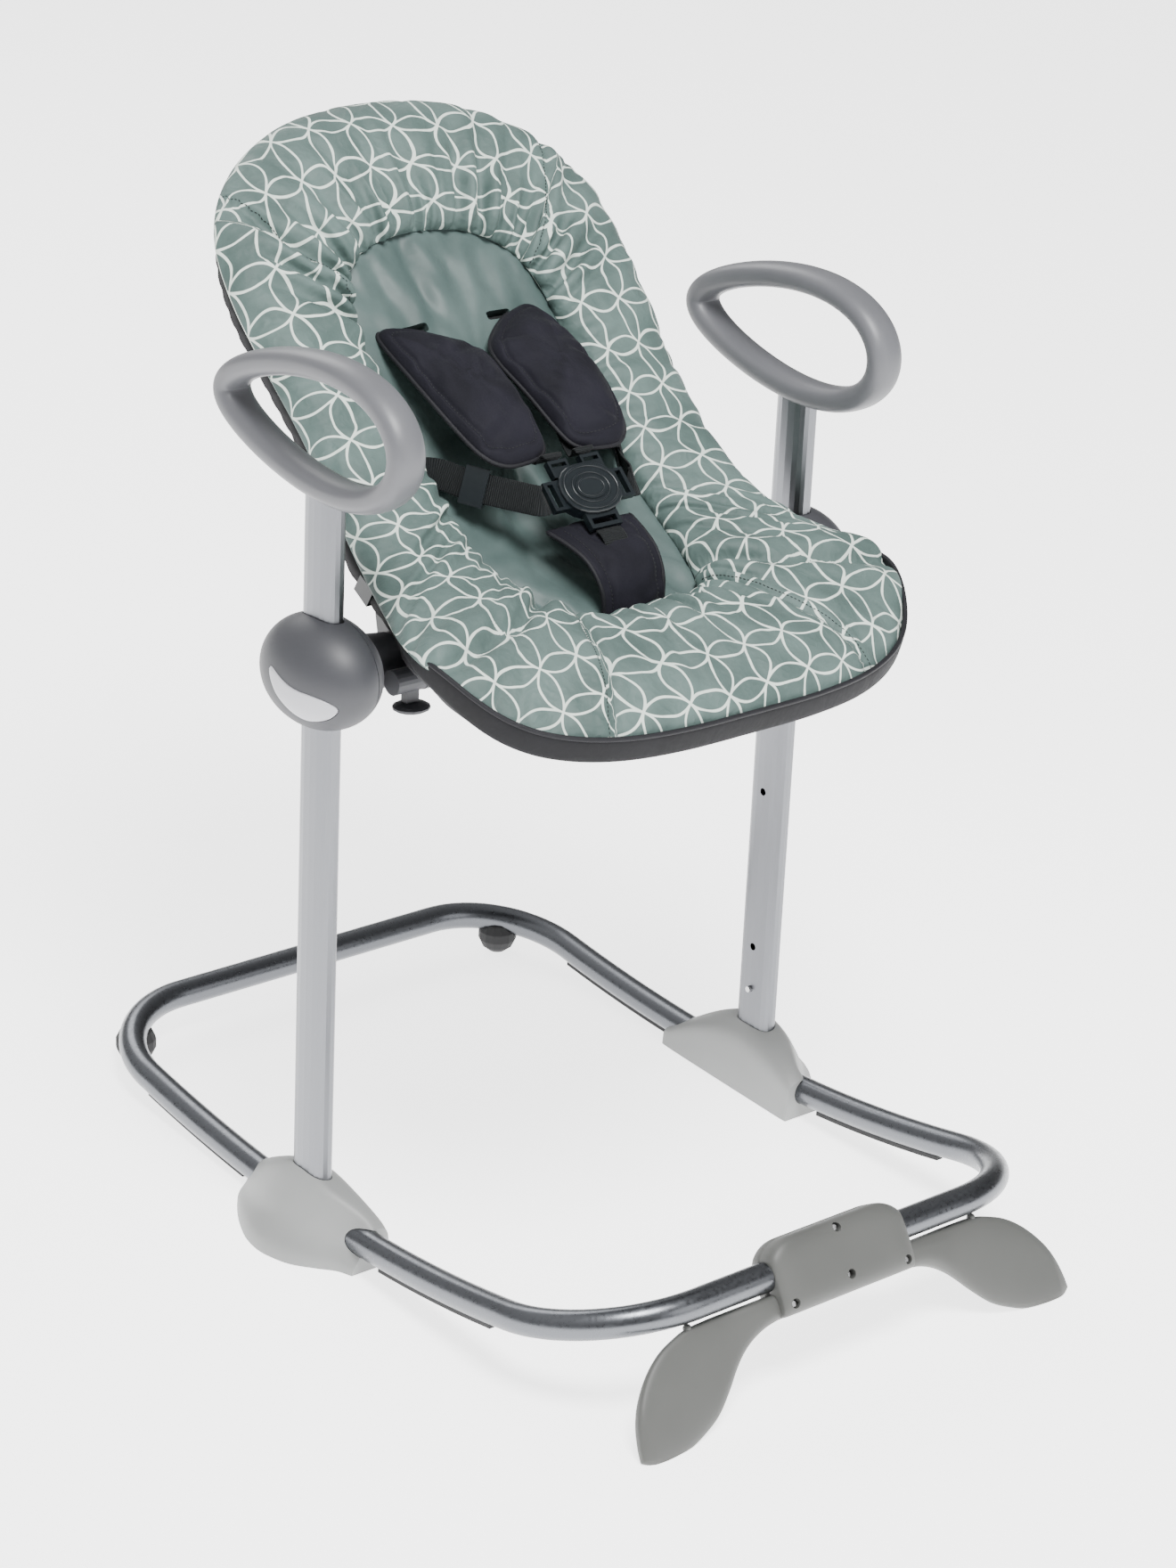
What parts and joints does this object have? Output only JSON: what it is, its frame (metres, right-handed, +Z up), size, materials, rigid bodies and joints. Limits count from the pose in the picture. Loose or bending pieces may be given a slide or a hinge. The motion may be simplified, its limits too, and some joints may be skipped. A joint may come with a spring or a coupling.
{
  "type": "height-adjustable baby bouncer",
  "caption": "Baby bouncer: reclining padded seat with a belt harness, carried between upright posts on a bent-tube base, with loop handles and a pedal foot.",
  "frame": {"origin": "middle of the bounding box on the floor", "axes": "+X points to the pieces named right, -Y is the front where the pedal foot is, +Z is up"},
  "size_m": [0.605, 0.7911, 0.8679],
  "materials": {
    "satin_aluminium": "satin anodised tube with fine drawn lines",
    "bright_steel": "plain bright steel",
    "hub_plastic": "mid grey moulded plastic, fine grain",
    "ring_plastic": "light grey soft-touch plastic",
    "housing_plastic": "light warm grey moulded plastic",
    "foot_plastic": "light grey moulded plastic",
    "button_plastic": "pale satin grey plastic",
    "black_plastic": "black acetal",
    "black_rubber": "matte black rubber",
    "charcoal_cloth": "matte woven cloth with piped edges",
    "sage_print_cloth": "sage satin cloth with an off-white line lattice of overlapping circles",
    "sage_satin_cloth": "plain sage satin cloth",
    "black_webbing": "ribbed woven webbing"
  },
  "bodies": {
    "base_frame": {"base_tube": "satin_aluminium", "left_front_grip_strip": "black_rubber", "left_back_grip_strip": "black_rubber", "right_front_grip_strip": "black_rubber", "right_back_grip_strip": "black_rubber", "left_rear_foot": "foot_plastic", "right_rear_foot": "foot_plastic", "left_lower_post_rivet": "bright_steel", "left_upper_post_rivet": "bright_steel", "right_lower_post_rivet": "bright_steel", "right_upper_post_rivet": "bright_steel", "left_post_stop_pin": "bright_steel", "right_post_stop_pin": "bright_steel", "left_post_housing": "housing_plastic", "right_post_housing": "housing_plastic", "left_post": "satin_aluminium", "right_post": "satin_aluminium", "left_ring_handle": "ring_plastic", "right_ring_handle": "ring_plastic"},
    "front_foot_group": {"front_foot": "foot_plastic", "front_foot_cap": "foot_plastic", "front_foot_screw_1": "bright_steel", "front_foot_screw_2": "bright_steel", "front_foot_screw_3": "bright_steel", "front_foot_screw_4": "bright_steel"},
    "carriage": {"left_hub_outer_shell": "hub_plastic", "left_hub_inner_shell": "hub_plastic", "right_hub_outer_shell": "hub_plastic", "right_hub_inner_shell": "hub_plastic", "left_post_sleeve": "black_plastic", "right_post_sleeve": "black_plastic", "left_pivot_pin": "bright_steel", "right_pivot_pin": "bright_steel", "left_latch_spring": "bright_steel", "right_latch_spring": "bright_steel"},
    "seat": {"left_seat_bracket": "black_plastic", "right_seat_bracket": "black_plastic", "seat_frame_tube": "bright_steel", "seat_cover": "charcoal_cloth", "padded_border": "sage_print_cloth", "insert_pad": "sage_satin_cloth", "left_shoulder_pad": "charcoal_cloth", "right_shoulder_pad": "charcoal_cloth", "left_shoulder_strap": "black_webbing", "right_shoulder_strap": "black_webbing", "left_waist_strap": "black_webbing", "right_waist_strap": "black_webbing", "left_strap_slider": "black_plastic", "right_strap_slider": "black_plastic", "buckle_body": "black_plastic", "crotch_pad": "charcoal_cloth", "crotch_strap": "black_webbing"},
    "left_latch": {"left_release_button": "button_plastic", "left_latch_pin": "bright_steel"},
    "right_latch": {"right_release_button": "button_plastic", "right_latch_pin": "bright_steel"},
    "left_lever": {"left_recline_lever": "hub_plastic"},
    "right_lever": {"right_recline_lever": "hub_plastic"},
    "harness_button": {"buckle_button": "black_plastic"}
  },
  "joints": [
    {"name": "front_foot_turn", "type": "hinge", "parent": "base_frame", "child": "front_foot_group", "pos_m": [0, -0.33732, 0.08841], "axis": [1, 0, 0], "range_deg": [-75, 0]},
    {"name": "height_slide", "type": "slide", "parent": "base_frame", "child": "carriage", "axis": [0, 0.0488, 0.9988], "range_m": [-0.3505, 0]},
    {"name": "seat_recline", "type": "hinge", "parent": "carriage", "child": "seat", "pos_m": [0, 0.05447, 0.5043], "axis": [-1, 0, 0], "range_deg": [0, 30]},
    {"name": "left_release", "type": "slide", "parent": "carriage", "child": "left_latch", "axis": [1, 0, 0], "range_m": [0, 0.004], "stiffness_N_per_m": 600, "springref_m": -0.004, "deforming": ["left_latch_spring"]},
    {"name": "right_release", "type": "slide", "parent": "carriage", "child": "right_latch", "axis": [-1, 0, 0], "range_m": [0, 0.004], "stiffness_N_per_m": 600, "springref_m": -0.004, "deforming": ["right_latch_spring"]},
    {"name": "left_lever_turn", "type": "hinge", "parent": "seat", "child": "left_lever", "pos_m": [-0.19, 0.01582, 0.50219], "axis": [-1, 0, 0], "range_deg": [0, 18], "stiffness_Nm_per_rad": 0.3, "springref_deg": -17.19},
    {"name": "right_lever_turn", "type": "hinge", "parent": "seat", "child": "right_lever", "pos_m": [0.19, 0.01582, 0.50219], "axis": [-1, 0, 0], "range_deg": [0, 18], "stiffness_Nm_per_rad": 0.3, "springref_deg": -17.19},
    {"name": "harness_release", "type": "slide", "parent": "seat", "child": "harness_button", "axis": [0, 0.6388, -0.7694], "range_m": [0, 0.002], "stiffness_N_per_m": 600, "springref_m": -0.003}
  ]
}
